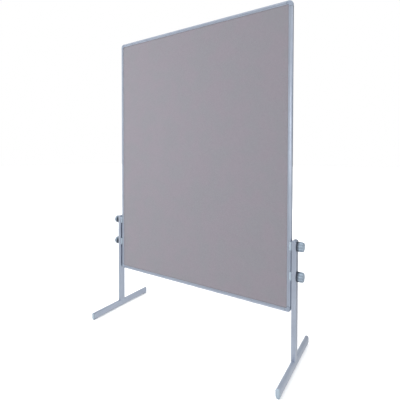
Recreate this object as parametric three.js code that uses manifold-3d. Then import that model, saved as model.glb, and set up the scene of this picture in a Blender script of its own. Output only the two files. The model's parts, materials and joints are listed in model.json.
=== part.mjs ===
// Free-standing partition wall: a felt-covered board in an aluminium frame, hung between two T-shaped stands.
// Each stand grips one upright of the frame with two hand knobs, so the board can be set higher or lower.
// Millimetres. X runs across the board, Y from its front to its back, Z up from the floor.
// The origin is on the floor, midway between the stands and midway between front and back.

import * as THREE from 'three';
import { mergeVertices } from 'three/addons/utils/BufferGeometryUtils.js';
import Module from 'manifold-3d';

const wasm = await Module();
wasm.setup();

// ---------------------------------------------------------------- driving dimensions

const CLEARANCE = 0.3; // left between pieces that touch on the real object
const OVERSHOOT = 1; // how far a cutting body, or one that is joined on, reaches past the face it meets

// Board
const BOARD_WIDTH = 1160;
const BOARD_HEIGHT = 1500;
const BOARD_BOTTOM = 265; // underside of the frame above the floor
const FELT_THICKNESS = 2;
const PANEL_THICKNESS = 18; // core and both felts together
const PANEL_EDGE = 9.5; // panel edge, measured inwards from the outside of the frame

// Frame extrusion, measured inwards from its outside (u) and from its middle plane (v)
const FRAME_FACE = 20;
const FRAME_DEPTH = 24;
const LIP_START = 12;
const LIP_HEIGHT = 10.8;
const LIP_ROUNDING = 0.8;
const LIP_GROOVE = 1; // width of the slope down from the face to the lip
const LIP_RISE = 0.2; // the lip is this much thicker at the foot of that slope
const SLOT_MOUTH = 8.4;
const SLOT_WIDTH = 15;
const SLOT_TOP = 2.5;
const SLOT_FLOOR = 7.5;
const WEB_INSIDE = 9;
const EDGE_FLAT = 10; // flat strip down the outside, which the slot opens into
const EDGE_ROUNDING = 6.5; // how far the rounded edge reaches over the face
const EDGE_STEPS = 6;
const PANEL_GROOVE = PANEL_THICKNESS + 2 * CLEARANCE;

// Corner pieces and the bent steel bars inside them: all their arcs share one centre
const CORNER_RADIUS = 20;
const CORNER_LEG = 30;
const CORNER_PROUD = 0.3; // the corner pieces stand this far above the frame's faces
const CORNER_BEVEL = 2;
const BRACKET_LEG = 55;

// Posts, round-cornered tube
const POST_GAP = 4; // between the frame's outside and the post
const POST_WIDTH = 22;
const POST_DEPTH = 38;
const POST_CORNER = 3;
const POST_WALL = 1.5;
const POST_BOTTOM = 37;
const POST_TOP = 612;
const CAP_HEIGHT = 8;
const CAP_SHOULDER = 2;
const CAP_PLUG = 16;
const CAP_ROUNDING = 1; // of the arch's rims, along the post's depth
const CAP_INSET = 0.8; // of the same rims, across it
const CAP_FULLNESS = 1; // the arch's control points lie this far inside its sides

// Feet, flat oval tube lying along Y on its narrow side
const FOOT_LENGTH = 470;
const FOOT_WIDTH = 20;
const FOOT_HEIGHT = 40;
const FOOT_WALL = 1.5;
const FOOT_LIFT = 2; // the tube hangs this far above the floor, on the pads of its end caps
const FOOT_CAP_THICKNESS = 6;
const FOOT_CAP_PROUD = 0.8;
const FOOT_CAP_PLUG = 18;
const FOOT_CAP_ROUNDING = 3; // of the cap's outer rim, along the foot
const FOOT_CAP_INSET = 2.5; // of the same rim, across it
const PAD_WIDTH = 14;
const PAD_LENGTH = 32;
const PAD_HEIGHT = 5;
const PAD_INSET = 2; // from the foot's end

// Screw joint between foot and post
const BOLT_RADIUS = 4;
const BOLT_HEAD_RADIUS = 6.5;
const BOLT_HEAD_HEIGHT = 5;
const BOLT_LENGTH = 34;
const SOCKET_RADIUS = 3;
const SOCKET_DEPTH = 2.5;
const SADDLE_LENGTH = 22;
const SADDLE_HEIGHT = 6;
const INSERT_HEIGHT = 30;
const TOOL_HOLE_RADIUS = 7.5;

// Clamps
const CLAMP_HEIGHTS = { lower: 445, upper: 590 }; // above the floor
const STUD_RADIUS = 4;
const RUNNING_HOLE = 4.5;
const THREAD_HOLE = STUD_RADIUS + CLEARANCE;
const KNOB_RADIUS = 25;
const KNOB_LENGTH = 26;
const KNOB_LOBES = 10;
const POINTS_PER_LOBE = 5;
const KNOB_FLUTE = 1.3;
const KNOB_BORE_DEPTH = 16;
const KNOB_RIM = 4;
const WASHER_RADIUS = 24;
const WASHER_THICKNESS = 6;
const SLEEVE_RADIUS = 7;
const JAW_HEIGHT = 42;
const JAW_REACH = 9; // how far the jaw's lips reach over the frame's faces
const JAW_LIP = 2.7;
const JAW_NOSE = 1; // the lip's outer corner is cut off over this length
const JAW_BEVEL = 1.2; // and this much of its thickness
const JAW_SLOPE = 4; // length of the curve from the lip down to the post
const NUT_LENGTH = 20;

// Facets on a full turn, and on each curved stretch of an outline
const FINE = 28;
const COARSE = 16;
const PER_CURVE = 4;

// Sizes that follow from the ones above
const BOARD_MIDDLE = BOARD_BOTTOM + BOARD_HEIGHT / 2;
const POST_CENTRE = BOARD_WIDTH / 2 + POST_GAP + POST_WIDTH / 2;
const FOOT_MIDDLE = FOOT_LIFT + FOOT_HEIGHT / 2;
const FOOT_TOP = FOOT_LIFT + FOOT_HEIGHT;

// ---------------------------------------------------------------- finishes

const finish = (color, roughness, metalness) => new THREE.MeshStandardMaterial({ color, roughness, metalness });

const FINISHES = {
  aluminium: finish(0xa9b2c0, 0.42, 0.85),
  cornerPlastic: finish(0xa4aab4, 0.5, 0),
  knobPlastic: finish(0xaebdca, 0.45, 0),
  darkPlastic: finish(0x353d49, 0.6, 0),
  felt: finish(0x9d999f, 0.95, 0),
  fibreboard: finish(0xb59a73, 0.9, 0),
  steel: finish(0x9a9d9f, 0.35, 0.9),
};

// ---------------------------------------------------------------- solids

// A closed mesh whose corners are shared, as manifold-3d needs it.
function solidOf(geometry) {
  const bare = geometry.clone();
  bare.deleteAttribute('normal');
  bare.deleteAttribute('uv');
  const merged = mergeVertices(bare, 1e-4);
  return new wasm.Manifold(
    new wasm.Mesh({
      numProp: 3,
      vertProperties: new Float32Array(merged.attributes.position.array),
      triVerts: new Uint32Array(merged.index.array),
    }),
  );
}

function geometryOf(solid) {
  const mesh = solid.getMesh();
  const geometry = new THREE.BufferGeometry();
  geometry.setAttribute('position', new THREE.BufferAttribute(new Float32Array(mesh.vertProperties), 3));
  geometry.setIndex(new THREE.BufferAttribute(new Uint32Array(mesh.triVerts), 1));
  return geometry;
}

function cut(geometry, ...tools) {
  const result = tools.reduce((solid, tool) => solid.subtract(solidOf(tool)), solidOf(geometry));
  return geometryOf(result);
}

function join(geometry, ...others) {
  const result = others.reduce((solid, other) => solid.add(solidOf(other)), solidOf(geometry));
  return geometryOf(result);
}

function keepInside(geometry, region) {
  return geometryOf(solidOf(geometry).intersect(solidOf(region)));
}

// A block given by its lowest and highest corners.
function block(low, high) {
  const size = high.map((value, axis) => value - low[axis]);
  const geometry = new THREE.BoxGeometry(...size);
  return geometry.translate(...high.map((value, axis) => (value + low[axis]) / 2));
}

// A round bar along X, from x = start to x = end.
function barAlongX(radius, start, end, facets = COARSE) {
  const geometry = new THREE.CylinderGeometry(radius, radius, end - start, facets);
  geometry.rotateZ(-Math.PI / 2);
  return geometry.translate((start + end) / 2, 0, 0);
}

// A round bar along Z, from z = start to z = end.
function barAlongZ(radius, start, end, facets = COARSE) {
  const geometry = new THREE.CylinderGeometry(radius, radius, end - start, facets);
  geometry.rotateX(Math.PI / 2);
  return geometry.translate(0, 0, (start + end) / 2);
}

// Outlines start in the middle of a straight side, so that no arc ends on the first point.
function roundedRectangle(width, height, radius) {
  const x = width / 2;
  const y = height / 2;
  const shape = new THREE.Shape();
  shape.moveTo(0, -y);
  shape.lineTo(x - radius, -y);
  shape.absarc(x - radius, -y + radius, radius, -Math.PI / 2, 0);
  shape.lineTo(x, y - radius);
  shape.absarc(x - radius, y - radius, radius, 0, Math.PI / 2);
  shape.lineTo(-x + radius, y);
  shape.absarc(-x + radius, y - radius, radius, Math.PI / 2, Math.PI);
  shape.lineTo(-x, -y + radius);
  shape.absarc(-x + radius, -y + radius, radius, Math.PI, Math.PI * 1.5);
  return shape;
}

function flatOval(width, height) {
  const radius = width / 2;
  const centre = height / 2 - radius;
  const shape = new THREE.Shape();
  shape.moveTo(radius, 0);
  shape.lineTo(radius, centre);
  shape.absarc(0, centre, radius, 0, Math.PI);
  shape.lineTo(-radius, -centre);
  shape.absarc(0, -centre, radius, Math.PI, 2 * Math.PI);
  return shape;
}

// An outline drawn in X and Y, drawn out along Z from z = 0.
function extrude(shape, depth, options = {}) {
  return new THREE.ExtrudeGeometry(shape, { depth, bevelEnabled: false, curveSegments: PER_CURVE, ...options });
}

// The same, with its rims rounded over on both ends and its length unchanged.
function extrudeRounded(shape, depth, thickness, inset, segments = 3) {
  const geometry = extrude(shape, depth - 2 * thickness, {
    bevelEnabled: true,
    bevelThickness: thickness,
    bevelSize: inset,
    bevelOffset: -inset,
    bevelSegments: segments,
  });
  return geometry.translate(0, 0, thickness);
}

// ---------------------------------------------------------------- scene graph

const wall = new THREE.Group();

function place(parent, name, geometry, material) {
  const mesh = new THREE.Mesh(geometry, material);
  mesh.name = name;
  parent.add(mesh);
  return mesh;
}

// Turns a mesh so that its own X, Y and Z point along the three given directions.
function aim(object, xAxis, yAxis, zAxis) {
  const basis = new THREE.Matrix4().makeBasis(
    new THREE.Vector3(...xAxis),
    new THREE.Vector3(...yAxis),
    new THREE.Vector3(...zAxis),
  );
  object.quaternion.setFromRotationMatrix(basis);
}

const board = new THREE.Group();
board.position.z = BOARD_MIDDLE;
wall.add(board);

// ---------------------------------------------------------------- panel

function addPanel() {
  const width = BOARD_WIDTH - 2 * PANEL_EDGE;
  const height = BOARD_HEIGHT - 2 * PANEL_EDGE;
  const outline = roundedRectangle(width, height, CORNER_RADIUS - PANEL_EDGE);
  const coreThickness = PANEL_THICKNESS - 2 * (FELT_THICKNESS + CLEARANCE);
  const layers = [
    ['core_panel', coreThickness, 0, FINISHES.fibreboard],
    ['felt_front', FELT_THICKNESS, -(PANEL_THICKNESS - FELT_THICKNESS) / 2, FINISHES.felt],
    ['felt_back', FELT_THICKNESS, (PANEL_THICKNESS - FELT_THICKNESS) / 2, FINISHES.felt],
  ];
  for (const [name, thickness, y, material] of layers) {
    const geometry = extrude(outline, thickness).translate(0, 0, -thickness / 2);
    const mesh = place(board, name, geometry, material);
    mesh.rotation.x = Math.PI / 2;
    mesh.position.y = y;
  }
}

// ---------------------------------------------------------------- frame extrusions

// One face of the extrusion, from the slot's mouth round the edge to the panel groove.
function faceOutline(side) {
  const face = (FRAME_DEPTH / 2) * side;
  const flat = (EDGE_FLAT / 2) * side;
  const rounding = new THREE.EllipseCurve(
    EDGE_ROUNDING,
    flat,
    EDGE_ROUNDING,
    FRAME_DEPTH / 2 - EDGE_FLAT / 2,
    Math.PI,
    (Math.PI / 2) * side,
    side > 0,
  );
  const lip = LIP_HEIGHT * side;
  return [
    [0, (SLOT_MOUTH / 2) * side],
    ...rounding.getPoints(EDGE_STEPS).map((point) => point.toArray()),
    [LIP_START - LIP_GROOVE, face],
    [LIP_START, lip + LIP_RISE * side],
    [FRAME_FACE - LIP_ROUNDING, lip],
    [FRAME_FACE, lip - LIP_ROUNDING * side],
    [FRAME_FACE, (PANEL_GROOVE / 2) * side],
    [WEB_INSIDE, (PANEL_GROOVE / 2) * side],
  ];
}

function frameSection() {
  const slot = [
    [SLOT_TOP, -SLOT_MOUTH / 2],
    [SLOT_TOP, -SLOT_WIDTH / 2],
    [SLOT_FLOOR, -SLOT_WIDTH / 2],
    [SLOT_FLOOR, SLOT_WIDTH / 2],
    [SLOT_TOP, SLOT_WIDTH / 2],
    [SLOT_TOP, SLOT_MOUTH / 2],
  ];
  const points = [...faceOutline(1), ...faceOutline(-1).reverse(), ...slot];
  return new THREE.Shape(points.map(([u, v]) => new THREE.Vector2(u, v)));
}

function addFrame() {
  const section = frameSection();
  const trim = 2 * (CORNER_LEG + CLEARANCE);
  const upright = extrude(section, BOARD_HEIGHT - trim).translate(0, 0, -(BOARD_HEIGHT - trim) / 2);
  const rail = extrude(section, BOARD_WIDTH - trim).translate(0, 0, -(BOARD_WIDTH - trim) / 2);
  const bars = [
    // name, geometry, place of its outside, direction inwards, direction along it
    ['frame_left', upright, [-BOARD_WIDTH / 2, 0, 0], [1, 0, 0], [0, 0, 1]],
    ['frame_right', upright, [BOARD_WIDTH / 2, 0, 0], [-1, 0, 0], [0, 0, -1]],
    ['frame_top', rail, [0, 0, BOARD_HEIGHT / 2], [0, 0, -1], [1, 0, 0]],
    ['frame_bottom', rail, [0, 0, -BOARD_HEIGHT / 2], [0, 0, 1], [-1, 0, 0]],
  ];
  for (const [name, geometry, position, inwards, along] of bars) {
    const bar = place(board, name, geometry, FINISHES.aluminium);
    bar.position.set(...position);
    aim(bar, inwards, [0, 1, 0], along);
  }
}

// ---------------------------------------------------------------- frame corners

// A bent strip round the corner's centre, between two radii, with straight legs of the given length.
function bentStrip(outer, inner, leg) {
  const centre = CORNER_RADIUS;
  const shape = new THREE.Shape();
  shape.moveTo(leg, centre - outer);
  shape.lineTo(centre, centre - outer);
  shape.absarc(centre, centre, outer, Math.PI * 1.5, Math.PI, true);
  shape.lineTo(centre - outer, leg);
  shape.lineTo(centre - inner, leg);
  shape.lineTo(centre - inner, centre);
  shape.absarc(centre, centre, inner, Math.PI, Math.PI * 1.5);
  shape.lineTo(leg, centre - inner);
  return shape;
}

function cornerOutline() {
  const shape = new THREE.Shape();
  shape.moveTo(CORNER_LEG, 0);
  shape.lineTo(CORNER_LEG, FRAME_FACE);
  shape.lineTo(FRAME_FACE, FRAME_FACE);
  shape.lineTo(FRAME_FACE, CORNER_LEG);
  shape.lineTo(0, CORNER_LEG);
  shape.lineTo(0, CORNER_RADIUS);
  shape.absarc(CORNER_RADIUS, CORNER_RADIUS, CORNER_RADIUS, Math.PI, Math.PI * 1.5);
  return shape;
}

// The groove that takes the panel's rounded corner.
function panelCornerOutline() {
  const far = CORNER_LEG + OVERSHOOT;
  const radius = CORNER_RADIUS - WEB_INSIDE;
  const shape = new THREE.Shape();
  shape.moveTo(far, WEB_INSIDE);
  shape.lineTo(far, far);
  shape.lineTo(WEB_INSIDE, far);
  shape.lineTo(WEB_INSIDE, CORNER_RADIUS);
  shape.absarc(CORNER_RADIUS, CORNER_RADIUS, radius, Math.PI, Math.PI * 1.5);
  return shape;
}

const centred = (shape, depth) => extrude(shape, depth).translate(0, 0, -depth / 2);

function cornerPiece() {
  const depth = FRAME_DEPTH + 2 * CORNER_PROUD;
  const body = extrudeRounded(cornerOutline(), depth, CORNER_BEVEL, CORNER_BEVEL, 2);
  body.translate(0, 0, -depth / 2);
  const groove = centred(panelCornerOutline(), PANEL_GROOVE);
  const channelEnd = CORNER_LEG + OVERSHOOT;
  const channelOutline = bentStrip(CORNER_RADIUS - SLOT_TOP, CORNER_RADIUS - SLOT_FLOOR, channelEnd);
  const channel = centred(channelOutline, SLOT_WIDTH);
  return cut(body, groove, channel);
}

function cornerBracket() {
  const outer = CORNER_RADIUS - SLOT_TOP - CLEARANCE;
  const inner = CORNER_RADIUS - SLOT_FLOOR + CLEARANCE;
  return centred(bentStrip(outer, inner, BRACKET_LEG), SLOT_WIDTH - 2 * CLEARANCE);
}

function addCorners() {
  const piece = cornerPiece();
  const bracket = cornerBracket();
  const corners = [
    // name, place, and the two directions inwards along the frame
    ['bottom_left', -1, -1, [1, 0, 0], [0, 0, 1]],
    ['bottom_right', 1, -1, [0, 0, 1], [-1, 0, 0]],
    ['top_right', 1, 1, [-1, 0, 0], [0, 0, -1]],
    ['top_left', -1, 1, [0, 0, -1], [1, 0, 0]],
  ];
  for (const [name, x, z, first, second] of corners) {
    const corner = new THREE.Group();
    corner.position.set((x * BOARD_WIDTH) / 2, 0, (z * BOARD_HEIGHT) / 2);
    aim(corner, first, second, [0, -1, 0]);
    board.add(corner);
    place(corner, `corner_${name}`, piece, FINISHES.cornerPlastic);
    place(corner, `bracket_${name}`, bracket, FINISHES.steel);
  }
}

// ---------------------------------------------------------------- stands

// The flat oval of the foot tube, drawn out along Y; inset shrinks it evenly.
function footOval(inset, length) {
  const outline = flatOval(FOOT_WIDTH - 2 * inset, FOOT_HEIGHT - 2 * inset);
  const geometry = extrude(outline, length).translate(0, 0, -length / 2);
  geometry.rotateX(Math.PI / 2);
  return geometry.translate(0, 0, FOOT_MIDDLE);
}

function postTube() {
  const inner = POST_CORNER - POST_WALL;
  const height = POST_TOP - POST_BOTTOM;
  const outside = extrude(roundedRectangle(POST_WIDTH, POST_DEPTH, POST_CORNER), height);
  const hollowOutline = roundedRectangle(POST_WIDTH - 2 * POST_WALL, POST_DEPTH - 2 * POST_WALL, inner);
  const hollow = extrude(hollowOutline, height + 2 * OVERSHOOT).translate(0, 0, -OVERSHOOT);
  outside.translate(0, 0, POST_BOTTOM);
  hollow.translate(0, 0, POST_BOTTOM);
  const holes = Object.values(CLAMP_HEIGHTS).map((z) =>
    barAlongX(RUNNING_HOLE, -POST_WIDTH, POST_WIDTH).translate(0, 0, z),
  );
  return cut(outside, hollow, footOval(-CLEARANCE, 2 * POST_DEPTH), ...holes);
}

// Its top is an arch across X, and a plug holds it in the tube.
function postCap() {
  const half = POST_WIDTH / 2;
  const arch = new THREE.Shape();
  arch.moveTo(-half, CLEARANCE);
  arch.lineTo(half, CLEARANCE);
  arch.lineTo(half, CAP_SHOULDER);
  arch.quadraticCurveTo(half - CAP_FULLNESS, CAP_HEIGHT, 0, CAP_HEIGHT);
  arch.quadraticCurveTo(CAP_FULLNESS - half, CAP_HEIGHT, -half, CAP_SHOULDER);
  const vault = extrudeRounded(arch, POST_DEPTH, CAP_ROUNDING, CAP_INSET, 2);
  vault.rotateX(Math.PI / 2).translate(0, POST_DEPTH / 2, 0);
  const column = extrude(roundedRectangle(POST_WIDTH, POST_DEPTH, POST_CORNER), 2 * CAP_HEIGHT);
  const plugInset = POST_WALL + CLEARANCE;
  const plug = extrude(
    roundedRectangle(POST_WIDTH - 2 * plugInset, POST_DEPTH - 2 * plugInset, POST_CORNER - POST_WALL),
    CAP_PLUG,
  ).translate(0, 0, CAP_SHOULDER - CAP_PLUG);
  return join(keepInside(vault, column), plug);
}

function footTube() {
  const length = FOOT_LENGTH - 2 * (FOOT_CAP_THICKNESS + CLEARANCE);
  const boltHole = barAlongZ(RUNNING_HOLE, FOOT_MIDDLE, FOOT_TOP + OVERSHOOT);
  const toolHole = barAlongZ(TOOL_HOLE_RADIUS, 0, FOOT_MIDDLE);
  return cut(footOval(0, length), footOval(FOOT_WALL, length + 2 * OVERSHOOT), boltHole, toolHole);
}

// An end cap: a rounded collar, a plug inside the tube, and the flat pad that stands on the floor.
// It is drawn for the end that points along +Y.
function footCap() {
  const end = FOOT_LENGTH / 2;
  const tubeEnd = end - FOOT_CAP_THICKNESS;
  const width = FOOT_WIDTH + 2 * FOOT_CAP_PROUD;
  const outline = flatOval(width, FOOT_HEIGHT + 2 * FOOT_CAP_PROUD);
  const lozenge = extrudeRounded(outline, 2 * FOOT_CAP_THICKNESS, FOOT_CAP_ROUNDING, FOOT_CAP_INSET);
  lozenge.rotateX(Math.PI / 2).translate(0, end, FOOT_MIDDLE);
  const outerHalf = block([-width, tubeEnd, 0], [width, end, 2 * FOOT_HEIGHT]);
  const plugMiddle = tubeEnd + OVERSHOOT - FOOT_CAP_PLUG / 2;
  const plug = footOval(FOOT_WALL + CLEARANCE, FOOT_CAP_PLUG).translate(0, plugMiddle, 0);
  const pad = block([-PAD_WIDTH / 2, end - PAD_LENGTH, 0], [PAD_WIDTH / 2, end - PAD_INSET, PAD_HEIGHT]);
  const tubeSpace = footOval(-CLEARANCE, FOOT_LENGTH - 2 * FOOT_CAP_THICKNESS);
  return join(cut(pad, tubeSpace), keepInside(lozenge, outerHalf), plug);
}

// The block under the top of the foot tube that the bolt pulls against.
function footSaddle() {
  const top = FOOT_TOP - FOOT_WALL - CLEARANCE;
  const half = BOLT_HEAD_RADIUS;
  const halfLength = SADDLE_LENGTH / 2;
  const raw = block([-half, -halfLength, top - SADDLE_HEIGHT], [half, halfLength, top + OVERSHOOT]);
  const rounded = keepInside(raw, footOval(FOOT_WALL + CLEARANCE, 2 * SADDLE_LENGTH));
  return cut(rounded, barAlongZ(RUNNING_HOLE, 0, FOOT_TOP));
}

function footBolt() {
  const headTop = FOOT_TOP - FOOT_WALL - SADDLE_HEIGHT - 2 * CLEARANCE;
  const head = barAlongZ(BOLT_HEAD_RADIUS, headTop - BOLT_HEAD_HEIGHT, headTop);
  const socketLength = 2 * SOCKET_DEPTH;
  const socket = new THREE.CylinderGeometry(SOCKET_RADIUS, SOCKET_RADIUS, socketLength, 6);
  socket.rotateX(Math.PI / 2).translate(0, 0, headTop - BOLT_HEAD_HEIGHT);
  return join(cut(head, socket), barAlongZ(BOLT_RADIUS, headTop - OVERSHOOT, headTop + BOLT_LENGTH));
}

function postInsert() {
  const inset = POST_WALL + CLEARANCE;
  const bottom = FOOT_TOP + 2 * CLEARANCE;
  const body = extrude(
    roundedRectangle(POST_WIDTH - 2 * inset, POST_DEPTH - 2 * inset, POST_CORNER - POST_WALL),
    INSERT_HEIGHT,
  ).translate(0, 0, bottom);
  return cut(body, barAlongZ(THREAD_HOLE, bottom - OVERSHOOT, bottom + INSERT_HEIGHT + OVERSHOOT));
}

// ---------------------------------------------------------------- clamps
// Drawn about the stud's axis, with +X pointing away from the board and x = 0 at the middle of the post.

const POST_OUTER_FACE = POST_WIDTH / 2;
const POST_INNER_FACE = -POST_WIDTH / 2;
const FRAME_OUTSIDE = POST_INNER_FACE - POST_GAP;
const WASHER_START = POST_OUTER_FACE + CLEARANCE;
const KNOB_START = WASHER_START + WASHER_THICKNESS + CLEARANCE;
const NUT_FACE = FRAME_OUTSIDE - SLOT_TOP - CLEARANCE;
const NUT_BACK = FRAME_OUTSIDE - SLOT_FLOOR + CLEARANCE;

function knob() {
  const points = [];
  const steps = KNOB_LOBES * POINTS_PER_LOBE;
  for (let step = 0; step < steps; step += 1) {
    const angle = (2 * Math.PI * step) / steps;
    const radius = KNOB_RADIUS - (KNOB_FLUTE * (1 - Math.cos(KNOB_LOBES * angle))) / 2;
    points.push(new THREE.Vector2(radius * Math.cos(angle), radius * Math.sin(angle)));
  }
  const body = extrudeRounded(new THREE.Shape(points), KNOB_LENGTH, KNOB_RIM, KNOB_RIM - 1, 2);
  body.rotateY(Math.PI / 2).translate(KNOB_START, 0, 0);
  return cut(body, barAlongX(THREAD_HOLE, KNOB_START - OVERSHOOT, KNOB_START + KNOB_BORE_DEPTH));
}

function washer() {
  const disc = barAlongX(WASHER_RADIUS, WASHER_START, WASHER_START + WASHER_THICKNESS, FINE);
  return cut(disc, barAlongX(RUNNING_HOLE, 0, KNOB_START + OVERSHOOT));
}

function stud() {
  return barAlongX(STUD_RADIUS, NUT_BACK + 1, KNOB_START + KNOB_BORE_DEPTH - 1);
}

// Keeps the tube's two walls apart while the knob is tightened.
function sleeve() {
  const half = POST_WIDTH / 2 - POST_WALL - CLEARANCE;
  return cut(barAlongX(SLEEVE_RADIUS, -half, half), barAlongX(RUNNING_HOLE, -POST_WIDTH, POST_WIDTH));
}

// The saddle that sits between post and frame, with lips that lie over both edges of the frame.
function jaw() {
  const inside = FRAME_OUTSIDE + CLEARANCE;
  const outside = POST_INNER_FACE - CLEARANCE;
  const lipEnd = FRAME_OUTSIDE - JAW_REACH;
  const half = FRAME_DEPTH / 2 + CLEARANCE;
  const outline = new THREE.Shape();
  outline.moveTo(outside, -half);
  outline.lineTo(outside, half);
  outline.quadraticCurveTo(outside, half + JAW_LIP, outside - JAW_SLOPE, half + JAW_LIP);
  outline.lineTo(lipEnd + JAW_NOSE, half + JAW_LIP);
  outline.lineTo(lipEnd, half + JAW_LIP - JAW_BEVEL);
  outline.lineTo(lipEnd, half);
  outline.lineTo(inside, half);
  outline.lineTo(inside, -half);
  outline.lineTo(lipEnd, -half);
  outline.lineTo(lipEnd, -half - JAW_LIP + JAW_BEVEL);
  outline.lineTo(lipEnd + JAW_NOSE, -half - JAW_LIP);
  outline.lineTo(outside - JAW_SLOPE, -half - JAW_LIP);
  outline.quadraticCurveTo(outside, -half - JAW_LIP, outside, -half);
  const body = extrude(outline, JAW_HEIGHT).translate(0, 0, -JAW_HEIGHT / 2);
  return cut(body, barAlongX(RUNNING_HOLE, FRAME_OUTSIDE, POST_INNER_FACE + OVERSHOOT));
}

// The flat nut that slides in the frame's slot, behind the slot's mouth.
function slotNut() {
  const halfWidth = SLOT_WIDTH / 2 - CLEARANCE;
  const bar = block([NUT_BACK, -halfWidth, -NUT_LENGTH / 2], [NUT_FACE, halfWidth, NUT_LENGTH / 2]);
  return cut(bar, barAlongX(THREAD_HOLE, NUT_BACK - OVERSHOOT, NUT_FACE + OVERSHOOT));
}

const CLAMP_PIECES = [
  ['knob', knob(), FINISHES.knobPlastic],
  ['washer', washer(), FINISHES.darkPlastic],
  ['stud', stud(), FINISHES.steel],
  ['sleeve', sleeve(), FINISHES.steel],
  ['jaw', jaw(), FINISHES.cornerPlastic],
  ['slot_nut', slotNut(), FINISHES.steel],
];

const STAND_PIECES = [
  ['post', postTube(), FINISHES.aluminium],
  ['foot_tube', footTube(), FINISHES.aluminium],
  ['post_insert', postInsert(), FINISHES.darkPlastic],
  ['foot_bolt', footBolt(), FINISHES.steel],
  ['foot_saddle', footSaddle(), FINISHES.steel],
];

function addStand(name, side) {
  const stand = new THREE.Group();
  stand.position.x = side * POST_CENTRE;
  stand.rotation.z = side > 0 ? 0 : Math.PI;
  wall.add(stand);

  for (const [piece, geometry, material] of STAND_PIECES) {
    place(stand, `${piece}_${name}`, geometry, material);
  }
  const topCap = place(stand, `post_cap_${name}`, postCap(), FINISHES.cornerPlastic);
  topCap.position.z = POST_TOP;

  for (const [end, direction] of [['front', -1], ['back', 1]]) {
    const cap = place(stand, `foot_cap_${name}_${end}`, footCap(), FINISHES.cornerPlastic);
    cap.rotation.z = direction * side > 0 ? 0 : Math.PI;
  }

  for (const [level, z] of Object.entries(CLAMP_HEIGHTS)) {
    const clamp = new THREE.Group();
    clamp.position.z = z;
    stand.add(clamp);
    for (const [piece, geometry, material] of CLAMP_PIECES) {
      place(clamp, `${piece}_${name}_${level}`, geometry, material);
    }
  }
}

addPanel();
addFrame();
addCorners();
addStand('left', -1);
addStand('right', 1);

export default wall;
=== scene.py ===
# %% [markdown]
# # A partition board between two stands
# A partition board of this kind is a felt-covered panel in a light aluminium frame. Two T-shaped stands hold
# the frame's uprights, and four hand knobs clamp them, so the board can be set higher or lower.
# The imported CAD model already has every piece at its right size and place. This script loads it as a fixed
# frame and dresses it: each visible piece gets a finer mesh of its own, and every surface gets a finish.

# %% Load the frame
import json
import math

import bmesh
import bpy
from mathutils import Matrix, Vector

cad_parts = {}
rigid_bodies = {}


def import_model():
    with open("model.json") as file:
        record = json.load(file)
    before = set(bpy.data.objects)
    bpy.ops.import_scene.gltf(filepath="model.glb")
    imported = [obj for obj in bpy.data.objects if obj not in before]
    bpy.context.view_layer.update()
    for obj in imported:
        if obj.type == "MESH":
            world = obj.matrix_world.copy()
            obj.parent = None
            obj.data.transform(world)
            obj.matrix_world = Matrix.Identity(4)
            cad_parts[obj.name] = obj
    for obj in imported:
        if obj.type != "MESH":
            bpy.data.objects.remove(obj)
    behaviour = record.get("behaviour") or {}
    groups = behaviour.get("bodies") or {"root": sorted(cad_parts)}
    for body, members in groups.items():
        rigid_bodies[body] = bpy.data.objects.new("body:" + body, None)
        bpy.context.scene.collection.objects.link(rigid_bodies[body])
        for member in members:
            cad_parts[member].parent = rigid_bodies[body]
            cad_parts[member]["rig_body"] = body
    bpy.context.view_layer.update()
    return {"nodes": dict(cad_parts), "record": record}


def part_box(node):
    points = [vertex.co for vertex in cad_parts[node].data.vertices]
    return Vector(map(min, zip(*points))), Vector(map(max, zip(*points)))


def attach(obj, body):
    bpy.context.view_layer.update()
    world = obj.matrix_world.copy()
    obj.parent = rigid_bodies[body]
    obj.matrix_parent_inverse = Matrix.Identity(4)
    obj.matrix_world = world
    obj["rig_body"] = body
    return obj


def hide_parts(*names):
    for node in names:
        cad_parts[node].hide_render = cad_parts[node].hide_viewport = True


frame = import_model()

# %% [markdown]
# ## Sizes
# Blender works in metres here, and the object is measured in millimetres, so every size below is a number of
# millimetres times MM. Places are never typed in: they are read from the box of the CAD node that a piece
# stands for. Only what a box can't tell, such as the section of the frame, is stated here.

# %% Sizes
MM = 0.001
SIDES = {"left": -1, "right": 1}
LEVELS = ("lower", "upper")
CLEARANCE = 0.3 * MM

FRAME_FACE = 20 * MM
FRAME_DEPTH = 24 * MM
LIP_START = 11.6 * MM
SLOT_TOP = 2.5 * MM
CORNER_RADIUS = 20 * MM
CORNER_PROUD = 0.4 * MM
CORNER_SEAM = 0.4 * MM
POST_CORNER = 3 * MM
TUBE_WALL = 1.5 * MM

SLOTS = {row["node"]: row["material_slot"] for row in frame["record"]["subparts"]}
board_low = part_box("frame_left")[0].x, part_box("frame_bottom")[0].z
board_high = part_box("frame_right")[1].x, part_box("frame_top")[1].z
half_width = (board_high[0] - board_low[0]) / 2
half_height = (board_high[1] - board_low[1]) / 2
board_middle = (board_low[1] + board_high[1]) / 2
board_centre = Vector(((board_low[0] + board_high[0]) / 2, 0, board_middle))
corner_low, corner_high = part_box("corner_top_left")
CORNER_LEG = corner_high.x - corner_low.x
print(f"board {2 * half_width:.3f} m wide, {2 * half_height:.3f} m high")

# %% [markdown]
# ## Outlines
# Nearly every piece here is an outline carried along a line: extrusions, tubes, caps and clamps. The useful
# helper is one that takes the corners of an outline with a radius for each and puts a fillet there, as the
# die or the mould would. It works for inside and outside corners alike.


# %% Outlines
def arc(centre, radii, start, end, steps):
    """Points on an elliptical arc with both its ends, from start to end in degrees."""
    angles = [math.radians(start + (end - start) * step / steps) for step in range(steps + 1)]
    return [(centre[0] + radii[0] * math.cos(a), centre[1] + radii[1] * math.sin(a)) for a in angles]


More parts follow.
